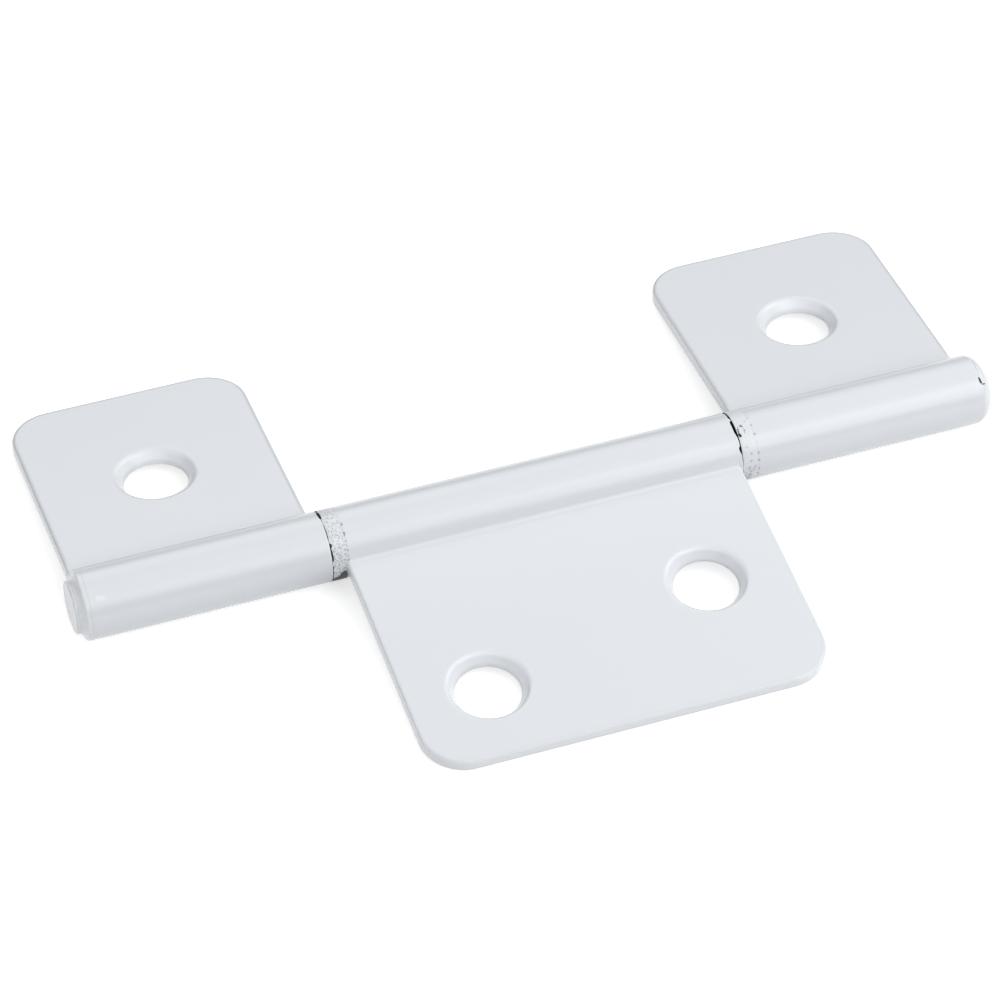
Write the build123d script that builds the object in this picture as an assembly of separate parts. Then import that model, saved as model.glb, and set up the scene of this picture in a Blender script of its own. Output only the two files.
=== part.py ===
from build123d import *
import os
from math import acos, asin, atan2, cos, degrees, hypot, radians, sin, sqrt, tan

os.makedirs("parts", exist_ok=True)

# A three-leaf non-mortise hinge in white coated steel, lying open on a table with its
# barrel up and its leaves sloping down to the table. X runs along the pin, Y points away
# from the wide leaf and Z up. The origin is the middle of the hinge's outline on the table.
# Millimetres and degrees throughout.

# Sheet and barrel
sheet = 1.6                 # thickness of every leaf, coating included
barrel_diameter = 8.0       # outside of the curled knuckles
leaf_rise = 0.3             # middle of the sheet above the pin's axis
bend_radius = 0.8           # inside of the back bend between leaf and knuckle
seam_gap = 0.1              # between the end of the curl and the leaf's underside
edge_round = 0.35           # upper rim of the sheet
edge_chamfer = 0.3          # rim on its back
knuckle_chamfer = 0.12      # crisp rim of a knuckle's end
corner_radius = 5.0         # free corners of every leaf

# Leaves
outer_width = 27.5          # along the pin
outer_reach = 33.5          # from the pin's axis to the free edge
centre_width = 46.3
centre_reach = 33.7

# Screw holes, measured from the pin's axis and from the middle of their leaf
screw_bore = 7.3
bore_land = 0.25            # height of the straight bore under the countersink
countersink_angle = 60.0
lip_round = 0.8             # coated upper lip of each hole
outer_hole_reach = 18.0
far_hole_reach = 24.4       # staggered pair in the wide leaf
near_hole_reach = 17.7
centre_hole_offset = 13.8

# Washers between the knuckles
washer_diameter = 7.9
washer_thickness = 1.6
washer_clearance = 0.05     # radial, on the pin
washer_chamfer = 0.1
joint_play = 0.28           # open crack on one side of each washer

# Pin, with its domed head at the right and its upset tip at the left
pin_clearance = 0.05        # radial, in the knuckles
end_play = 0.1              # between an outer knuckle and the head or the tip
head_diameter = 7.76
head_height = 1.9
dome_drop = 3.2             # from the head's rim in to its small flat
tip_diameter = 6.0
tip_height = 0.85
tip_chamfer = 0.15

# Sizes that follow
barrel_radius = barrel_diameter / 2
bore_radius = barrel_radius - sheet
pin_radius = bore_radius - pin_clearance
leaf_top = leaf_rise + sheet / 2
leaf_bottom = leaf_rise - sheet / 2


def droop(reach):
    """Slope at which the back of a leaf's free edge touches the table."""
    foot = reach - edge_chamfer
    return degrees(asin(barrel_radius / hypot(foot, leaf_bottom)) + atan2(leaf_bottom, foot))


def level_reach(reach):
    """Distance of a sloping leaf's free edge from the pin's axis, seen from above."""
    slope = radians(droop(reach))
    return (reach - edge_round) * cos(slope) + (leaf_top - edge_round) * sin(slope) + edge_round


# Places along the pin, from the upset tip to the head
overall_length = (tip_height + end_play + 2 * outer_width + centre_width
                  + 2 * (joint_play + washer_thickness) + end_play + head_height)
tip_face = -overall_length / 2
tip_seat = tip_face + tip_height
left_start = tip_seat + end_play
left_end = left_start + outer_width
left_washer_start = left_end + joint_play
centre_start = left_washer_start + washer_thickness
centre_end = centre_start + centre_width
right_washer_start = centre_end + joint_play
right_start = right_washer_start + washer_thickness
right_end = right_start + outer_width
head_seat = right_end + end_play

# Pin's axis, set so that the outline is centred and the barrel lies on the table
axis_y = (level_reach(centre_reach) - level_reach(outer_reach)) / 2
axis_z = barrel_radius


def on_circle(radius, angle):
    return (radius * cos(radians(angle)), radius * sin(radians(angle)))


# Back bend between leaf and knuckle, and the two ends of the curl round the pin
bend_y = leaf_top + bend_radius
bend_x = sqrt((barrel_radius + bend_radius) ** 2 - bend_y ** 2)
bend_centre = (bend_x, bend_y)
bend_distance = hypot(bend_x, bend_y)
meeting = degrees(atan2(bend_y, bend_x))
seam_clear = bend_radius + sheet + seam_gap
seam_cosine = barrel_radius ** 2 + bend_distance ** 2 - seam_clear ** 2
seam_cosine /= 2 * barrel_radius * bend_distance
seam = meeting - degrees(acos(seam_cosine))
wrap = 360 - meeting + seam
crisp_from = meeting + 4    # where the crisp part of a knuckle's end starts


def curled_section(reach):
    """Section of a leaf: local X runs to the free edge, local Y to the upper side.

    From the leaf the sheet bends back upwards and runs once round the pin. The curl ends
    just short of the leaf's underside, where the seam stays open."""
    with BuildSketch() as section:
        with BuildLine():
            Line((reach, leaf_top), (reach, leaf_bottom))
            Line((reach, leaf_bottom), (bend_x, leaf_bottom))
            CenterArc(bend_centre, bend_radius + sheet, 270, meeting - 90)
            CenterArc((0, 0), bore_radius, meeting, wrap)
            Line(on_circle(bore_radius, seam), on_circle(barrel_radius, seam))
            CenterArc((0, 0), barrel_radius, seam, -wrap)
            CenterArc(bend_centre, bend_radius, meeting + 180, 90 - meeting)
            Line((bend_x, leaf_top), (reach, leaf_top))
        make_face()
    return section.sketch


def round_corners(blank, reach):
    upright = blank.edges().filter_by(Axis.Z)
    return fillet(upright.filter_by_position(Axis.Y, reach, reach), corner_radius)


def rim_edges(blank, width, reach, height):
    """Outline of the sheet on one side, along the leaf and round the knuckle's ends."""
    free = blank.edges().filter_by_position(Axis.Y, reach, reach).filter_by(Axis.X)
    rims = free.filter_by_position(Axis.Z, height, height)
    for end in (-width / 2, width / 2):
        side = blank.edges().filter_by_position(Axis.X, end, end).filter_by(Axis.Y)
        rims += side.filter_by_position(Axis.Z, height, height)
    return rims


def soft_rim(blank, width, reach):
    """Rim of the sheet: rounded on the upper side and outside the curl, chamfered on the back."""
    blank = fillet(rim_edges(blank, width, reach, leaf_top), edge_round)
    return chamfer(rim_edges(blank, width, reach, leaf_bottom), edge_chamfer)


def crisp_curl(start, end):
    """The curl again, with crisp ends, from one place along the knuckle to another."""
    curl = 360 - (crisp_from - seam)
    with BuildSketch(Plane.YZ) as section:
        with BuildLine():
            CenterArc((0, 0), bore_radius, crisp_from, curl)
            Line(on_circle(bore_radius, seam), on_circle(barrel_radius, seam))
            CenterArc((0, 0), barrel_radius, seam, -curl)
            Line(on_circle(barrel_radius, crisp_from), on_circle(bore_radius, crisp_from))
        make_face()
    ring = Pos(start, 0, 0) * extrude(section.sketch, amount=end - start)
    arcs = ring.edges().filter_by(GeomType.CIRCLE).group_by(SortBy.RADIUS)[-1]
    return chamfer(arcs, knuckle_chamfer)


def screw_hole(x, y):
    """Short straight bore below a countersink that opens on the upper face."""
    depth = sheet - bore_land
    top_radius = screw_bore / 2 + depth * tan(radians(countersink_angle / 2))
    bore = Pos(x, y, leaf_rise) * Cylinder(screw_bore / 2, 3 * sheet)
    return bore + Pos(x, y, leaf_top - depth / 2) * Cone(screw_bore / 2, top_radius, depth)


def soften_lips(leaf):
    circles = leaf.edges().filter_by(GeomType.CIRCLE).filter_by(lambda edge: edge.is_closed)
    return fillet(circles.group_by(SortBy.RADIUS)[-1], lip_round)


def leaf(width, reach, holes, soft_end=False):
    """One curled sheet, middle of its knuckle at the origin and its leaf level along +Y.

    The knuckle's ends are crisp, but at a soft end the rim of the leaf runs on round it."""
    blank = extrude(Plane.YZ * curled_section(reach), amount=width / 2, both=True)
    blank = soft_rim(round_corners(blank, reach), width, reach)
    for x, y in holes:
        blank -= screw_hole(x, y)
    blank = soften_lips(blank)
    return blank + crisp_curl(0 if soft_end else -width / 2, width / 2)


def sloping(flat_leaf, reach):
    return Rot(X=-droop(reach)) * flat_leaf


def seated(shape, x=0):
    """Put a shape made about the pin's axis in its place along the barrel."""
    return Pos(x, axis_y, axis_z) * shape


def spacer_washer(start):
    ring = Cylinder(washer_diameter / 2, washer_thickness)
    ring = chamfer(ring.edges().filter_by(GeomType.CIRCLE), washer_chamfer)
    ring -= Cylinder(pin_radius + washer_clearance, 3 * washer_thickness)
    return seated(Rot(Y=90) * ring, start + washer_thickness / 2)


def pin_profile():
    """Half outline of the pin: local X along the pin, local Y its radius."""
    head_radius = head_diameter / 2
    tip_radius = tip_diameter / 2
    dome_base = head_radius - dome_drop
    head_face = head_seat + head_height
    with BuildSketch() as outline:
        with BuildLine():
            Polyline((head_face, dome_base), (head_face, 0), (tip_face, 0),
                     (tip_face, tip_radius - tip_chamfer), (tip_face + tip_chamfer, tip_radius),
                     (tip_seat, tip_radius), (tip_seat, pin_radius),
                     (head_seat, pin_radius), (head_seat, head_radius))
            EllipticalCenterArc((head_seat, dome_base), head_height, dome_drop, arc_size=90)
        make_face()
    return outline.sketch


def hinge_pin():
    return seated(revolve(pin_profile(), Axis.X))


def outer_leaf(start, soft_end=False):
    flat = leaf(outer_width, outer_reach, [(0, outer_hole_reach)], soft_end)
    return seated(sloping(flat, outer_reach), start + outer_width / 2)


def wide_leaf(start):
    holes = [(-centre_hole_offset, far_hole_reach), (centre_hole_offset, near_hole_reach)]
    flat = leaf(centre_width, centre_reach, holes)
    return seated(mirror(sloping(flat, centre_reach), Plane.XZ), start + centre_width / 2)


pieces = {
    "left_leaf": outer_leaf(left_start, soft_end=True),
    "right_leaf": outer_leaf(right_start),
    "centre_leaf": wide_leaf(centre_start),
    "left_washer": spacer_washer(left_washer_start),
    "right_washer": spacer_washer(right_washer_start),
    "hinge_pin": hinge_pin(),
}
for name, piece in pieces.items():
    export_step(piece, f"parts/{name}.step")
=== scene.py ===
"""White coated three-leaf hinge, open on a pale table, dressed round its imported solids.

Everything is in metres, but the sizes on the hinge are given in millimetres. The pin lies
along X at the height of the barrel's radius, the wide leaf points to -Y and the two outer
leaves to +Y. Angles round the barrel run from its top towards the front.
"""

import math

import bmesh
import bpy
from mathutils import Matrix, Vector, noise


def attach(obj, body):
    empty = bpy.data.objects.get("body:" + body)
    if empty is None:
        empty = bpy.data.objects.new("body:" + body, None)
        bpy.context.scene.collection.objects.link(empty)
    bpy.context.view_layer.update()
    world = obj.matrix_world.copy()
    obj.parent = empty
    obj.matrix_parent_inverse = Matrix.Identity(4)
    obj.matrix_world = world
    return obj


MM = 0.001

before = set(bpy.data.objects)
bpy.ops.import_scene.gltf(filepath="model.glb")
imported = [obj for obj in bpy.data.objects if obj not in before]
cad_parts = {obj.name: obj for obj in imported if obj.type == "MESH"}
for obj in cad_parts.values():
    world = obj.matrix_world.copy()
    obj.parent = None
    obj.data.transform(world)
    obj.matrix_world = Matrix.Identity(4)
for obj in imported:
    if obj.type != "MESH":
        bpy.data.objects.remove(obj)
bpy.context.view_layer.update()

# Places on the hinge, in millimetres, with the ends of its knuckles along X
AXIS_Y = 0.1003
AXIS_Z = 4.0
BARREL_RADIUS = 4.0
BARE_RADIUS = 3.86          # inside it the faces at a joint were never coated
LEFT_KNUCKLE_START = -53.055
LEFT_KNUCKLE_END = -25.555
MIDDLE_KNUCKLE_END = 22.625
RIGHT_KNUCKLE_END = 52.005
HEAD_SEAT = 52.105
HEAD_RADIUS = 3.88
HEAD_HEIGHT = 1.9
DOME_DROP = 3.2

# Camera, in millimetres
CAMERA_PLACE = (-121.582, -337.466, 355.482)
CAMERA_TARGET = (-4.425, 0.602, 4.0)
CAMERA_LENS = 162.304
CAMERA_SENSOR = 36.0

# Studio: softboxes on a dome, each with its azimuth from +X, its elevation and its watts
SOFTBOX_DISTANCE = 0.8
SOFTBOX_SIZE = 0.42
SOFTBOXES = [
    ("key", 315, 44, 1.57),
    ("right", 0, 44, 1.38),
    ("front", 270, 44, 0.72),
    ("back", 90, 44, 0.62),
    ("left", 180, 44, 0.38),
    ("front_left", 232, 32, 0.40),
    ("back_right", 45, 44, 0.36),
    ("top", 270, 80, 0.23),
    ("low_key", 315, 14, 0.38),
    ("low_right", 0, 14, 0.37),
    ("low_left", 180, 14, 0.66),
]
# A small softbox close to the right end, aimed so that its glint lies low along that knuckle
NEAR_AIM = (0.046, -0.003, 0.007)
NEAR_AZIMUTH = 286
NEAR_ELEVATION = 27
NEAR_DISTANCE = 0.30
NEAR_SIZE = 0.10
NEAR_WATTS = 0.058
SKY_LIGHT = 0.39
FLOOR_SIZE = 6.0
FLOOR_COLOUR = (0.78, 0.78, 0.78)
FLOOR_LIFT = 0.60           # glow that is seen but lights nothing
SCREEN_RADIUS = 1.2
SCREEN_HEIGHT = 0.50
SCREEN_SIDES = 48
SCREEN_COLOUR = (0.03, 0.03, 0.03)

# Finish: the coat on the leaves and the barrel, on the washers, a paler coat colour that is
# painted light, a palest one for painted light on the countersink walls, and the bare steel
# under it, whose dark colour also serves as painted shade
COAT_COLOUR = (0.735, 0.765, 0.80)
OVERSPRAY_COLOUR = (0.745, 0.768, 0.805)
# Painted light: paler coat in the countersinks, on leaf sides, at the left end, on the tip and in a
# glint
PAINTED_LIGHT_COLOUR = (0.80, 0.825, 0.855)
# Painted light on the right and back walls of the countersinks
PAINTED_WALL_LIGHT_COLOUR = (0.875, 0.905, 0.94)
# Bare steel, and also the colour of painted shade on rims, hole rings and lines
BARE_STEEL_AND_SHADE_COLOUR = (0.012, 0.012, 0.014)
COAT_ROUGHNESS = 0.215
PEEL_SIZE = 0.9             # bumps of the orange peel, in mm, and how strongly they show
PEEL_SHARE = 0.10
OVERSPRAY_ROUGHNESS = 0.33
OVERSPRAY_SHARE = 0.40      # how strongly its bumps show

# Leaves as drawn flat from the pin's axis: middle along X, side, half width, reach, how much
# painted shade greys their rims and how much painted light brightens their sides
LEAVES = [(-39.305, 1, 13.75, 33.5, 0.17, 1.0), (38.255, 1, 13.75, 33.5, 0.17, 1.0),
          (-0.525, -1, 23.15, 33.7, 0.03, 1.0)]
LEAF_SLOPE = 6.04
LEAF_CORNER = 5.0
# The faint line on the leaves' sides is painted shade
SIDE_LINE = -0.17           # height of the faint line on their sides, square to the leaf
SIDE_LINE_SHADE = 0.16

# Screw holes: their places along X and Y, and the radii of their rings of painted shade
HOLES = [(-39.305, 18.05), (38.255, 18.05), (-14.325, -24.15), (13.275, -17.55)]
BORE_RING = 3.66            # radius of the grey line round the bore
LIP_RING = 4.38             # radius of the one under the lip
RING_SHADE = 0.12


def new_material(name):
    """Empty node material with its output, and the tree to fill."""
    material = bpy.data.materials.new(name)
    material.use_nodes = True
    tree = material.node_tree
    tree.nodes.clear()
    output = tree.nodes.new("ShaderNodeOutputMaterial")
    return material, tree, output


def add(tree, kind, inputs=None, **settings):
    """Shader node of one kind. An input is given by its name or number, as a value or a socket."""
    node = tree.nodes.new("ShaderNode" + kind)
    for name, value in settings.items():
        setattr(node, name, value)
    for name, value in (inputs or {}).items():
        if isinstance(value, bpy.types.NodeSocket):
            tree.links.new(value, node.inputs[name])
        else:
            node.inputs[name].default_value = value
    return node


def calc(tree, operation, *values):
    """Result of one sum on values or sockets."""
    return add(tree, "Math", dict(enumerate(values)), operation=operation).outputs[0]


def step(tree, value, low, high):
    """0 where the value is below low and 1 where it is above high, or turned round."""
    inputs = {"Value": value, "From Min": min(low, high), "From Max": max(low, high)}
    inputs["To Min"] = 0.0 if low < high else 1.0
    inputs["To Max"] = 1.0 if low < high else 0.0
    return add(tree, "MapRange", inputs, interpolation_type="SMOOTHSTEP").outputs[0]


def near(tree, value, centre, reach, soft):
    """1 where the value is within reach of the centre, fading over a soft edge."""
    distance = calc(tree, "ABSOLUTE", calc(tree, "SUBTRACT", value, centre))
    return step(tree, distance, reach + soft, reach - soft)


def both(tree, *masks):
    """Where all the masks are, as their product."""
    result = masks[0]
    for mask in masks[1:]:
        result = calc(tree, "MULTIPLY", result, mask)
    return result


def either(tree, *masks):
    """Where any of the masks is, as the largest of them."""
    result = masks[0]
    for mask in masks[1:]:
        result = calc(tree, "MAXIMUM", result, mask)
    return result


def blotches(tree, place, size, detail=2.0, roughness=0.5):
    """Noise with blotches of about that many millimetres."""
    inputs = {"Vector": place, "Scale": 0.5 / (size * MM), "Detail": detail, "Roughness": roughness}
    return add(tree, "TexNoise", inputs).outputs[0]


def mix_colours(tree, share, first, second):
    """Colour between the first and the second, by its share of the second."""
    mix = add(tree, "Mix", data_type="RGBA")
    for number, value in ((0, share), (6, first), (7, second)):
        if isinstance(value, bpy.types.NodeSocket):
            tree.links.new(value, mix.inputs[number])
        else:
            mix.inputs[number].default_value = value if number == 0 else (*value, 1)
    return mix.outputs[2]


def barrel_places(tree):
    """Object place, and in millimetres and degrees: along the pin, round it and out from it."""
    place = add(tree, "TexCoord").outputs["Object"]
    parts = add(tree, "SeparateXYZ", {0: place}).outputs
    along = calc(tree, "MULTIPLY", parts[0], 1 / MM)
    front = calc(tree, "MULTIPLY_ADD", parts[1], -1 / MM, AXIS_Y)
    up = calc(tree, "MULTIPLY_ADD", parts[2], 1 / MM, -AXIS_Z)
    angle = calc(tree, "DEGREES", calc(tree, "ARCTAN2", front, up))
    square = calc(tree, "ADD", calc(tree, "MULTIPLY", front, front), calc(tree, "MULTIPLY", up, up))
    return place, along, angle, calc(tree, "SQRT", square)


def light_path_share(tree):
    """1 for rays from the camera, from gloss or through glass, else 0."""
    path = add(tree, "LightPath").outputs
    return either(tree, path["Is Camera Ray"], path["Is Glossy Ray"], path["Is Transmission Ray"])


def place_camera():
    """Camera at the photograph's viewing angle."""
    data = bpy.data.cameras.new("camera")
    data.lens = CAMERA_LENS
    data.sensor_width = CAMERA_SENSOR
    data.clip_start = 0.01
    data.clip_end = 20.0
    camera = bpy.data.objects.new("camera", data)
    bpy.context.scene.collection.objects.link(camera)
    place = Vector(CAMERA_PLACE) * MM
    target = Vector(CAMERA_TARGET) * MM
    camera.location = place
    camera.rotation_mode = "QUATERNION"
    camera.rotation_quaternion = (target - place).to_track_quat("-Z", "Y")
    bpy.context.scene.camera = camera


def hang_softbox(name, aim, azimuth, elevation, distance, size, watts):
    """Square area lamp seen from the aim at the given azimuth and elevation, facing it."""
    data = bpy.data.lights.new(name, "AREA")
    data.shape = "SQUARE"
    data.size = size
    data.energy = watts
    softbox = bpy.data.objects.new(name, data)
    bpy.context.scene.collection.objects.link(softbox)
    turn = math.radians(azimuth)
    rise = math.radians(elevation)
    way = Vector((math.cos(turn) * math.cos(rise), math.sin(turn) * math.cos(rise), math.sin(rise)))
    softbox.location = Vector(aim) + way * distance
    softbox.rotation_mode = "QUATERNION"
    softbox.rotation_quaternion = (-way).to_track_quat("-Z", "Y")
    softbox.visible_camera = False


def light_studio():
    """White sky, dimmer as a lamp than as seen, and the softboxes."""
    world = bpy.data.worlds.new("studio")
    bpy.context.scene.world = world
    world.use_nodes = True
    tree = world.node_tree
    tree.nodes.clear()
    output = add(tree, "OutputWorld")
    sight = {"Value": light_path_share(tree), "To Min": SKY_LIGHT, "To Max": 1.0}
    strength = add(tree, "MapRange", sight).outputs[0]
    sky = add(tree, "Background", {"Color": (1, 1, 1, 1), "Strength": strength})
    tree.links.new(sky.outputs[0], output.inputs["Surface"])
    middle = (0, 0, 0)
    for name, azimuth, elevation, watts in SOFTBOXES:
        hang_softbox(name, middle, azimuth, elevation, SOFTBOX_DISTANCE, SOFTBOX_SIZE, watts)
    hang_softbox("near", NEAR_AIM, NEAR_AZIMUTH, NEAR_ELEVATION, NEAR_DISTANCE, NEAR_SIZE,
                 NEAR_WATTS)


def put_on_stage(name, corners, faces, material):
    """Mesh that belongs to the studio and not to the hinge."""
    mesh = bpy.data.meshes.new(name)
    mesh.from_pydata(corners, [], faces)
    mesh.materials.append(material)
    piece = bpy.data.objects.new(name, mesh)
    bpy.context.scene.collection.objects.link(piece)
    return piece


def lay_floor():
    """Pale floor at the height of the table, as white as the photograph's background."""
    material, tree, output = new_material("pale_floor")
    paper = add(tree, "BsdfDiffuse", {"Color": (*FLOOR_COLOUR, 1)})
    strength = calc(tree, "MULTIPLY", light_path_share(tree), FLOOR_LIFT)
    lift = add(tree, "Emission", {"Strength": strength})
    shader = add(tree, "AddShader", {0: paper.outputs[0], 1: lift.outputs[0]})
    tree.links.new(shader.outputs[0], output.inputs["Surface"])
    half = FLOOR_SIZE / 2
    corners = [(-half, -half, 0), (half, -half, 0), (half, half, 0), (-half, half, 0)]
    put_on_stage("floor", corners, [(0, 1, 2, 3)], material)


def stand_screen():
    """Dark screen round the table, so that low reflections on the barrel stay dark."""
    material, tree, output = new_material("dark_screen")
    cloth = add(tree, "BsdfDiffuse", {"Color": (*SCREEN_COLOUR, 1)})
    tree.links.new(cloth.outputs[0], output.inputs["Surface"])
    corners = []
    for height in (0.0, SCREEN_HEIGHT):
        for number in range(SCREEN_SIDES):
            turn = 2 * math.pi * number / SCREEN_SIDES
            corners.append((SCREEN_RADIUS * math.cos(turn), SCREEN_RADIUS * math.sin(turn), height))
    faces = []
    for number in range(SCREEN_SIDES):
        after = (number + 1) % SCREEN_SIDES
        faces.append((number, number + SCREEN_SIDES, after + SCREEN_SIDES, after))
    screen = put_on_stage("screen", corners, faces, material)
    screen.visible_camera = False


# Coats
def bare_inside(tree, place, along, radius):
    """Uncoated steel inside the joints, with a ragged rim, but not at the coated ends."""
    wobble = calc(tree, "MULTIPLY_ADD", blotches(tree, place, 0.35), 0.10, BARE_RADIUS - 0.05)
    inside = step(tree, calc(tree, "SUBTRACT", radius, wobble), 0.015, -0.015)
    between_ends = both(tree, step(tree, along, -51.0, -50.0), step(tree, along, 51.6, 51.0))
    return both(tree, inside, between_ends)


def spots(tree, across, up, places):
    """Soft round spots. Each place has its two distances in mm, its radius in mm and its strength."""
    found = []
    for x, y, radius, strength in places:
        beside = calc(tree, "SUBTRACT", across, x)
        above = calc(tree, "SUBTRACT", up, y)
        square = calc(tree, "MULTIPLY_ADD", above, above, calc(tree, "MULTIPLY", beside, beside))
        spot = step(tree, calc(tree, "SQRT", square), radius * 1.25, radius * 0.70)
        found.append(calc(tree, "MULTIPLY", spot, strength))
    return either(tree, *found)


def grains(tree, across, up, spacing, size, share):
    """Scattered fine grains: round spots in cells, of which only a share is filled."""
    flat = add(tree, "CombineXYZ", {0: across, 1: up}).outputs[0]
    cells = add(tree, "TexVoronoi", {"Vector": flat, "Scale": 1 / spacing}, voronoi_dimensions="2D")
    chance = add(tree, "SeparateColor", {0: cells.outputs["Color"]}).outputs
    filled = step(tree, chance[0], share + 0.02, share - 0.02)
    spot = step(tree, cells.outputs["Distance"], size * 1.35, size * 0.65)
    return both(tree, filled, spot, calc(tree, "MULTIPLY_ADD", chance[1], 0.6, 0.4))


def faint_line(tree, place, along, x, reach, strength):
    """Thin broken line round the barrel, where the coat has sunk at the edge of a washer."""
    broken = step(tree, blotches(tree, place, 0.5, 1.0), 0.40, 0.60)
    return calc(tree, "MULTIPLY", both(tree, near(tree, along, x, reach, 0.05), broken), strength)


def coat(tree, place, darker, bump_height, bump_share, colour, least_rough=COAT_ROUGHNESS):
    """Glossy white powder coat with faint orange peel. The mask darker turns it to the dark
    colour of bare steel, both for bare steel and for painted shade.
    """
    shade = mix_colours(tree, darker, colour, BARE_STEEL_AND_SHADE_COLOUR)
    peel = add(tree, "Bump", {"Strength": bump_share, "Distance": 0.02 * MM, "Height": bump_height})
    rough = calc(tree, "MULTIPLY_ADD", blotches(tree, place, 2.5), 0.05, least_rough)
    rough = calc(tree, "MULTIPLY_ADD", darker, 0.3, rough)
    inputs = {"Base Color": shade, "Roughness": rough, "Normal": peel.outputs[0]}
    return add(tree, "BsdfPrincipled", inputs)


def round_barrel(tree, angle):
    """Distance round the barrel from its top, in mm."""
    return calc(tree, "MULTIPLY", angle, math.radians(BARREL_RADIUS))


# Dots that the coat left open beside the washers: place along, angle, radius, strength
LEFT_DOTS = [(-23.33, 14, 0.11, 0.45), (-23.34, 17, 0.12, 0.60), (-23.37, 31, 0.12, 0.75),
             (-23.38, 34, 0.12, 0.60), (-23.38, 38, 0.08, 0.40), (-23.39, 44, 0.10, 0.50),
             (-23.40, 51, 0.09, 0.40), (-23.40, 59, 0.11, 0.50), (-23.42, 67, 0.09, 0.35),
             (-23.46, 75, 0.12, 0.55)]
RIGHT_DOTS = [(22.48, 79, 0.13, 0.40), (22.52, 84, 0.15, 0.40), (22.72, 97, 0.16, 0.55),
              (24.71, 1, 0.12, 0.35), (24.76, 16, 0.13, 0.38), (24.79, 32, 0.15, 0.42),
              (24.79, 63, 0.14, 0.42), (24.78, 76, 0.15, 0.48), (24.77, 93, 0.15, 0.45),
              (24.71, 106, 0.16, 0.62), (24.95, 116, 0.12, 0.35)]
# Painted highlight: pale spots standing for a glint near the left knuckle's end
LEFT_GLINT_SPOTS = [(-51.30, 40.0, 0.34, 1.0), (-50.90, 41.0, 0.30, 1.0)]
# Two faint marks on the wide leaf: place along X and Y, radius, strength
LEAF_MARKS = [(-4.82, -8.59, 0.16, 0.035), (2.48, -32.42, 0.16, 0.045)]


def on_barrel_in_mm(places):
    """Places with their angles turned into distances round the barrel."""
    return [(x, math.radians(angle) * BARREL_RADIUS, size, much) for x, angle, size, much in places]


def leaf_edges(tree, parts):
    """Painted shade along the rims of the three leaves and in a faint line low on their
    sides, and painted light on those sides."""
    rims = []
    sides = []
    across = calc(tree, "MULTIPLY", parts[0], 1 / MM)
    height = calc(tree, "MULTIPLY_ADD", parts[2], 1 / MM, -AXIS_Z)
    slope = math.radians(LEAF_SLOPE)
    for middle, side, half, reach, strength, side_light in LEAVES:
        out = calc(tree, "MULTIPLY_ADD", parts[1], side / MM, -side * AXIS_Y)
        flat = calc(tree, "MULTIPLY", out, math.cos(slope))
        flat = calc(tree, "MULTIPLY_ADD", height, -math.sin(slope), flat)
        raised = calc(tree, "MULTIPLY", height, math.cos(slope))
        raised = calc(tree, "MULTIPLY_ADD", out, math.sin(slope), raised)
        beside = calc(tree, "ABSOLUTE", calc(tree, "SUBTRACT", across, middle))
        beside = calc(tree, "MAXIMUM", calc(tree, "SUBTRACT", beside, half - LEAF_CORNER), 0.0)
        beyond = calc(tree, "MAXIMUM", calc(tree, "SUBTRACT", flat, reach - LEAF_CORNER), 0.0)
        square = calc(tree, "MULTIPLY_ADD", beyond, beyond, calc(tree, "MULTIPLY", beside, beside))
        reached = calc(tree, "SQRT", square)
        # Painted shade: a greyer band along the rims
        rim = near(tree, reached, LEAF_CORNER - 0.30, 0.16, 0.10)
        on_leaf = step(tree, flat, 5.0, 7.0)
        rim = calc(tree, "MULTIPLY", both(tree, rim, on_leaf), strength)
        # Painted shade: a thin line low on the sides
        line = both(tree, near(tree, raised, SIDE_LINE, 0.09, 0.05), on_leaf)
        line = both(tree, line, step(tree, reached, LEAF_CORNER - 0.10, LEAF_CORNER - 0.04))
        rims += [rim, calc(tree, "MULTIPLY", line, SIDE_LINE_SHADE)]
        # Painted light: paler sides
        face = both(tree, near(tree, reached, LEAF_CORNER, 0.06, 0.04), on_leaf)
        sides.append(calc(tree, "MULTIPLY", face, side_light))
    return either(tree, *rims), either(tree, *sides)


def screw_holes(tree, along, back):
    """Painted light in the countersinks, strongest to the right and the back, and thin
    rings of painted shade at their two rims."""
    painted_light = []
    painted_wall_light = []
    rings = []
    for x, y in HOLES:
        beside = calc(tree, "SUBTRACT", along, x)
        above = calc(tree, "SUBTRACT", back, y)
        square = calc(tree, "MULTIPLY_ADD", above, above, calc(tree, "MULTIPLY", beside, beside))
        reached = calc(tree, "SQRT", square)
        # Painted light over the whole countersink
        painted_light.append(step(tree, reached, 5.0, 4.2))
        # Painted shade in thin rings at the bore and under the near lip
        bore = near(tree, reached, BORE_RING, 0.10, 0.06)
        lip = both(tree, near(tree, reached, LIP_RING, 0.10, 0.08), step(tree, above, -0.6, -2.0))
        rings += [calc(tree, "MULTIPLY", ring, RING_SHADE) for ring in (bore, lip)]
        # Painted light, strongest on the walls to the right and the back
        across = calc(tree, "MULTIPLY_ADD", above, 0.6, calc(tree, "MULTIPLY", beside, 0.8))
        painted_wall_light.append(both(tree, step(tree, across, 0.4, 3.4), step(tree, reached, 4.5, 4.1)))
    return either(tree, *painted_light), either(tree, *painted_wall_light), either(tree, *rings)


def left_end_shade_line(tree, along, angle):
    """Fine line of painted shade where the left knuckle's side meets its rounded end."""
    x = calc(tree, "MULTIPLY_ADD", angle, 0.0012, along)
    line = both(tree, near(tree, x, -52.36, 0.035, 0.05), near(tree, angle, 48.0, 68.0, 5.0))
    return calc(tree, "MULTIPLY", line, 0.20)


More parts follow.
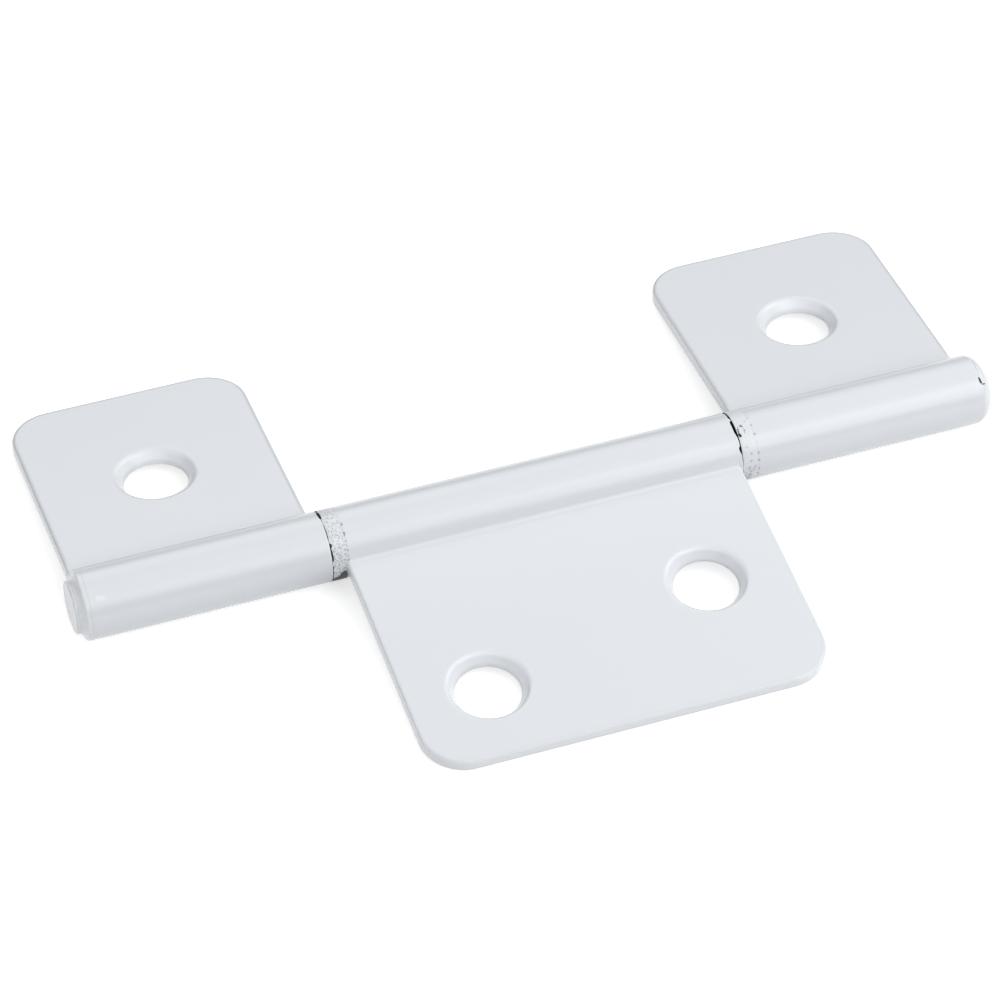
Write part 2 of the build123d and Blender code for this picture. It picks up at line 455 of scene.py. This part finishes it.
def leaf_coating():
    """White coat on the three leaves, with its dots, lines and marks, painted shade on rims and
    hole rings, and painted light in the countersinks, on sides, at the left end and in a glint.
    """
    material, tree, output = new_material("leaf_coating")
    place, along, angle, radius = barrel_places(tree)
    turned = round_barrel(tree, angle)
    on_barrel = step(tree, radius, BARREL_RADIUS + 0.15, BARREL_RADIUS + 0.05)
    dots = spots(tree, along, turned, on_barrel_in_mm(LEFT_DOTS + RIGHT_DOTS))
    left_line = faint_line(tree, place, along, x=-23.40, reach=0.03, strength=0.34)
    right_line = faint_line(tree, place, along, x=24.77, reach=0.04, strength=0.18)
    lines = either(tree, left_line, right_line, left_end_shade_line(tree, along, angle))
    dots = both(tree, on_barrel, either(tree, dots, lines))
    parts = add(tree, "SeparateXYZ", {0: place}).outputs
    back = calc(tree, "MULTIPLY", parts[1], 1 / MM)
    painted_light, painted_wall_light, rings = screw_holes(tree, along, back)
    # Painted highlight: a glint near the left knuckle's end
    painted_glint = both(tree, on_barrel, spots(tree, along, turned, on_barrel_in_mm(LEFT_GLINT_SPOTS)))
    rims, sides = leaf_edges(tree, parts)
    # Painted light on the shaded left end of the left knuckle
    lit_left_end = both(tree, on_barrel, step(tree, along, -52.6, -52.9))
    painted_light = either(tree, painted_light, painted_glint, sides, lit_left_end)
    # Real marks together with painted shade on the rims and hole rings
    marks = either(tree, spots(tree, along, back, LEAF_MARKS), rims, rings)
    darker = either(tree, bare_inside(tree, place, along, radius), dots, marks)
    white = mix_colours(tree, painted_light, COAT_COLOUR, PAINTED_LIGHT_COLOUR)
    white = mix_colours(tree, painted_wall_light, white, PAINTED_WALL_LIGHT_COLOUR)
    shader = coat(tree, place, darker, blotches(tree, place, PEEL_SIZE), PEEL_SHARE, white)
    tree.links.new(shader.outputs[0], output.inputs["Surface"])
    return material


def chip_on_head(tree, place, along, angle):
    """Hook-shaped chip at the right seam: a black spot with a thin tail on the dome."""
    ragged = calc(tree, "MULTIPLY_ADD", blotches(tree, place, 0.3), 0.12, -0.06)
    x = calc(tree, "ADD", along, ragged)
    lean = calc(tree, "MULTIPLY_ADD", angle, -0.012, x)
    spot = both(tree, near(tree, lean, 51.83, 0.11, 0.03), near(tree, angle, 33.5, 5.5, 1.2))
    tail = both(tree, near(tree, x, 52.52, 0.26, 0.05), near(tree, angle, 40.6, 1.2, 0.6))
    return either(tree, spot, calc(tree, "MULTIPLY", tail, 0.8))


def head_seam(tree, along, angle):
    """Thin dark line on the head, where the coat of the knuckle ends."""
    x = calc(tree, "MULTIPLY_ADD", angle, 0.003, along)
    line = both(tree, near(tree, x, 52.31, 0.05, 0.04), near(tree, angle, -2.0, 29.0, 3.0))
    return calc(tree, "MULTIPLY", line, 0.45)


def pin_coating():
    """White coat on the pin's two ends, with painted light on the tip and the bead round it, the
    bare shank between them and a chip on the head."""
    material, tree, output = new_material("pin_coating")
    place, along, angle, radius = barrel_places(tree)
    shank = step(tree, radius, 2.75, 2.65)
    between_ends = both(tree, step(tree, along, -53.05, -53.0), step(tree, along, 52.10, 52.05))
    under_skin = both(tree, step(tree, along, 52.0, 52.1), step(tree, along, 52.16, 52.13))
    seam = either(tree, chip_on_head(tree, place, along, angle), head_seam(tree, along, angle))
    darker = either(tree, both(tree, shank, between_ends), under_skin, seam)
    # Painted light on the tip and the bead, in the shaded corner at the left end
    painted_light = both(tree, step(tree, radius, 2.98, 3.02), step(tree, along, -50.0, -52.0))
    white = mix_colours(tree, painted_light, COAT_COLOUR, PAINTED_LIGHT_COLOUR)
    shader = coat(tree, place, darker, blotches(tree, place, PEEL_SIZE), PEEL_SHARE, white)
    tree.links.new(shader.outputs[0], output.inputs["Surface"])
    return material


def left_patch(tree, place, along, angle):
    """Black patch under the left washer, highest near the wide leaf: partly bare nylon, partly
    painted shade.
    """
    slant = calc(tree, "ABSOLUTE", calc(tree, "ADD", along, 23.98))
    edge = calc(tree, "MULTIPLY_ADD", slant, 16.0, 96.0)
    ragged = calc(tree, "MULTIPLY_ADD", blotches(tree, place, 0.35), 22.0, -11.0)
    below = calc(tree, "ADD", calc(tree, "SUBTRACT", angle, edge), ragged)
    patch = both(tree, step(tree, below, -1.5, 3.0), step(tree, along, -20.0, -22.0))
    return calc(tree, "MULTIPLY", patch, 0.90)


# Ring of chips on the right washer and the grey blobs below the crack beside it: place
# along, angle, radius, strength
RING_CHIPS = [(23.07, 27.0, 0.17, 1.0), (23.14, 29.5, 0.18, 1.0), (23.08, 22.5, 0.12, 0.9),
              (23.10, 18.5, 0.12, 0.9), (23.18, 15.0, 0.08, 0.45), (23.30, 12.5, 0.07, 0.35),
              (23.58, 12.8, 0.15, 0.80), (23.68, 14.5, 0.11, 0.65), (23.78, 18.5, 0.08, 0.35),
              (23.80, 22.5, 0.13, 0.55), (23.72, 26.5, 0.09, 0.35), (24.25, 5.5, 0.12, 0.25),
              (23.95, 62.0, 0.16, 0.28), (23.85, 74.0, 0.16, 0.30), (23.55, 50.0, 0.15, 0.20),
              (23.60, 88.0, 0.18, 0.38), (24.25, 88.0, 0.16, 0.35), (23.85, 95.0, 0.16, 0.40),
              (23.10, 104.0, 0.18, 0.55), (23.80, 104.0, 0.18, 0.45), (23.60, 112.0, 0.22, 0.50),
              (23.45, 120.0, 0.24, 0.50)]


def overspray():
    """Coat that settled on a washer: rough, speckled, thin underneath, with its own chips."""
    material, tree, output = new_material("washer_nylon")
    place, along, angle, radius = barrel_places(tree)
    turned = round_barrel(tree, angle)
    grain = blotches(tree, place, 0.30, 3.0, 0.65)
    thin = step(tree, angle, 25.0, 85.0)
    coarse = grains(tree, along, turned, 0.46, 0.23, 0.80)
    fine = grains(tree, along, turned, 0.27, 0.30, 0.65)
    left_side = step(tree, along, 1.0, -1.0)
    left_share = calc(tree, "MULTIPLY_ADD", thin, 0.20, 0.36)
    right_share = calc(tree, "MULTIPLY_ADD", step(tree, angle, 72.0, 105.0), 0.42, 0.06)
    share = add(tree, "Mix", {0: left_side, 2: right_share, 3: left_share}).outputs[0]
    specks = calc(tree, "MULTIPLY", either(tree, coarse, fine), share)
    # Partly bare nylon, partly painted shade under the left washer
    patch = left_patch(tree, place, along, angle)
    chips = spots(tree, along, turned, on_barrel_in_mm(RING_CHIPS))
    inside = step(tree, radius, 3.985, 3.96)
    darker = either(tree, specks, patch, chips, inside)
    height = calc(tree, "SUBTRACT", grain, calc(tree, "MULTIPLY", darker, 0.8))
    shader = coat(tree, place, darker, height, OVERSPRAY_SHARE, OVERSPRAY_COLOUR,
                  OVERSPRAY_ROUGHNESS)
    tree.links.new(shader.outputs[0], output.inputs["Surface"])
    return material


# Paint skins round the barrel
def ragged_by(x, angle, seed, size, amount):
    """Edge place moved by fixed noise round the barrel."""
    turn = math.radians(angle)
    spot = Vector((math.cos(turn), math.sin(turn), 0)) * BARREL_RADIUS / size
    return x + amount * noise.noise(spot + Vector((seed, 0, 3.7 * seed)))


def turned_skin(name, loop_at, body, material, steps=240):
    """Closed section loop turned round the pin. loop_at gives its places and radii by angle."""
    verts = []
    for number in range(steps):
        angle = 360 * number / steps
        turn = math.radians(angle)
        loop = loop_at(angle if angle < 180 else angle - 360)
        for x, radius in loop:
            y = AXIS_Y - radius * math.sin(turn)
            z = AXIS_Z + radius * math.cos(turn)
            verts.append((x * MM, y * MM, z * MM))
    count = len(loop)
    faces = []
    for number in range(steps):
        here = number * count
        there = (number + 1) % steps * count
        for corner in range(count):
            after = (corner + 1) % count
            faces.append((here + corner, here + after, there + after, there + corner))
    mesh = bpy.data.meshes.new(name)
    mesh.from_pydata(verts, [], faces)
    shape = bmesh.new()
    shape.from_mesh(mesh)
    bmesh.ops.recalc_face_normals(shape, faces=shape.faces)
    shape.to_mesh(mesh)
    shape.free()
    mesh.polygons.foreach_set("use_smooth", [True] * len(mesh.polygons))
    mesh.materials.append(material)
    piece = bpy.data.objects.new(name, mesh)
    bpy.context.scene.collection.objects.link(piece)
    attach(piece, body)


def between(angle, stops):
    """Value at an angle, between given stops of angle and value."""
    if angle <= stops[0][0]:
        return stops[0][1]
    for (start, first), (end, second) in zip(stops, stops[1:]):
        if angle <= end:
            share = (angle - start) / (end - start)
            return first + share * (second - first)
    return stops[-1][1]


# Radii of a skin of coat: at its inside, its torn edge, that edge's shoulder, its outside and
# where it is fullest
SKIN_INSIDE = 3.90
SKIN_EDGE = 3.965
SKIN_SHOULDER = 3.987
SKIN_OUTSIDE = 3.995
SKIN_FULL = 3.998

# The coat is parted at each joint. How far it has drawn back from the parting, by angle
PARTING_GAP = 0.015
LEFT_PARTING = -25.285
LEFT_SKIN_BACK = [(-60, 0.10), (-30, 0.12), (-27, 0.02), (-24, 0.14), (-8, 0.12), (-3, 0.0),
                  (12, 0.0), (14, 0.05), (24, 0.06), (34, 0.07), (39, 0.0), (42.5, 0.0),
                  (43.5, 0.24), (48, 0.24), (50, 0.08), (54, 0.13), (60, 0.17), (66, 0.19),
                  (71, 0.16), (74, 0.0), (81, 0.0), (82.5, 0.10), (86, 0.10), (88, 0.0),
                  (92, 0.0), (94, 0.10), (98, 0.10), (100, 0.0), (103, 0.06), (180, 0.05)]
LEFT_LIP_BACK = [(-60, 0.12), (-30, 0.16), (-27, 0.0), (-24, 0.16), (-8, 0.13), (-3, 0.0),
                 (180, 0.0)]
RIGHT_PARTING = 22.895
RIGHT_LIP_BACK = [(-60, 0.16), (-40, 0.26), (-20, 0.16), (-10, 0.20), (-5, 0.04), (-3, 0.06),
                  (-1, 0.27), (10, 0.34), (22, 0.28), (30, 0.14), (40, 0.08), (46, 0.09),
                  (48, 0.25), (54, 0.23), (58, 0.10), (62, 0.04), (70, 0.05), (76, 0.01),
                  (180, 0.0)]


def drawn_back(angle, stops, seed):
    """Gap at the parting, and the ragged distance that the coat has drawn back from it."""
    back = ragged_by(between(angle, stops), angle, seed, size=0.4, amount=0.03)
    return PARTING_GAP + max(0.0, back)


def lip_section(knuckle_end, edge):
    """Section of the coat that runs off a knuckle's right end, up to its torn edge."""
    start = knuckle_end - 0.185
    return [(start, SKIN_INSIDE), (start, SKIN_EDGE + 0.01), (start + 0.07, SKIN_OUTSIDE),
            (edge - 0.03, SKIN_OUTSIDE), (edge - 0.008, SKIN_SHOULDER), (edge, SKIN_EDGE),
            (edge - 0.02, SKIN_INSIDE), (knuckle_end - 0.045, SKIN_INSIDE - 0.02)]


def skin_section(edge, full_places, end):
    """Section of the coat over a washer, from its torn edge to its end on the next knuckle."""
    section = [(edge, SKIN_EDGE), (edge + 0.008, SKIN_SHOULDER), (edge + 0.03, SKIN_OUTSIDE)]
    section += [(x, SKIN_FULL) for x in full_places]
    return section + [(end, SKIN_SHOULDER - 0.002), (end, SKIN_INSIDE), (edge + 0.03, SKIN_INSIDE)]


def left_lip(angle):
    """Coat that runs off the left knuckle's right end, up to the parting."""
    edge = LEFT_PARTING - drawn_back(angle, LEFT_LIP_BACK, seed=2.0)
    return lip_section(LEFT_KNUCKLE_END, edge)


def left_skin(angle):
    """Coat over the left washer, from the parting to the middle knuckle."""
    edge = LEFT_PARTING + drawn_back(angle, LEFT_SKIN_BACK, seed=5.0)
    return skin_section(edge, (-24.60, -24.00, -23.60), -23.50)


def right_lip(angle):
    """Coat that runs off the middle knuckle's right end, up to the parting."""
    edge = RIGHT_PARTING - drawn_back(angle, RIGHT_LIP_BACK, seed=9.0)
    return lip_section(MIDDLE_KNUCKLE_END, edge)


def right_skin(angle):
    """Coat over the right washer, from the parting to the right knuckle, alike at every angle."""
    return skin_section(RIGHT_PARTING + PARTING_GAP, (23.50, 24.10, 24.58), 24.66)


def tip_bead(angle):
    """Bead of coat in the corner between the left knuckle's end and the pin's tip, alike at
    every angle."""
    start = LEFT_KNUCKLE_START
    return [(start + 0.17, 3.66), (start + 0.06, 3.60), (start - 0.04, 3.49), (start - 0.13, 3.36),
            (start - 0.23, 3.23), (start - 0.35, 3.12), (start - 0.48, 3.05), (start - 0.62, 3.015),
            (start - 0.62, 2.90), (start + 0.17, 2.90)]


def dome_radius(x):
    """Radius of the pin's head at a place along X."""
    share = max(0.0, (x - HEAD_SEAT) / HEAD_HEIGHT)
    return HEAD_RADIUS - DOME_DROP * (1 - math.sqrt(1 - share * share))


# Where the coat of the right knuckle ends on the head, by angle
SEAM_EDGE = [(-60, 52.36), (-24, 52.37), (4, 52.28), (26, 52.21), (28, 52.06), (38, 52.10),
             (41, 52.24), (43, 52.74), (70, 52.72), (100, 52.48), (125, 52.40), (150, 52.36),
             (180, 52.36)]


def end_skin(angle):
    """Coat that bridges from the right knuckle over the start of the head."""
    edge = ragged_by(between(angle, SEAM_EDGE), angle, seed=15.0, size=0.6, amount=0.012)
    start = RIGHT_KNUCKLE_END - 0.205
    loop = [(start, SKIN_INSIDE), (start, SKIN_EDGE + 0.01), (start + 0.07, SKIN_OUTSIDE - 0.002)]
    crest = SKIN_FULL - 0.001
    for share in (0.0, 0.3, 0.6, 0.85):
        x = start + 0.13 + share * (edge - start - 0.13)
        loop.append((x, crest - (crest - dome_radius(x) - 0.05) * share * share))
    loop.append((edge - 0.01, dome_radius(edge) + 0.035))
    loop.append((edge, dome_radius(edge) + 0.018))
    bottom = RIGHT_KNUCKLE_END - 0.025
    for share in (0.7, 0.35):
        x = bottom + share * (edge - bottom)
        loop.append((x, dome_radius(x) + 0.013))
    loop.append((bottom, SKIN_INSIDE + 0.005))
    return loop


place_camera()
light_studio()
lay_floor()
stand_screen()
leaf_coat = leaf_coating()
pin_coat = pin_coating()
washer_coat = overspray()
coats = {"leaf_coating": leaf_coat, "pin_coating": pin_coat, "washer_nylon": washer_coat}
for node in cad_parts.values():
    for place in node.material_slots:
        place.material = coats[place.material.name.split(".")[0]]

turned_skin("left_crack_lip", left_lip, "left_side", leaf_coat)
turned_skin("left_washer_skin", left_skin, "centre_side", washer_coat)
turned_skin("right_crack_lip", right_lip, "centre_side", leaf_coat)
turned_skin("right_washer_skin", right_skin, "right_side", washer_coat)
turned_skin("tip_bead", tip_bead, "left_side", pin_coat)
turned_skin("right_end_skin", end_skin, "right_side", leaf_coat, steps=360)

bpy.context.scene.view_settings.view_transform = "Standard"


def corners(box):
    return [list(corner) for corner in box]
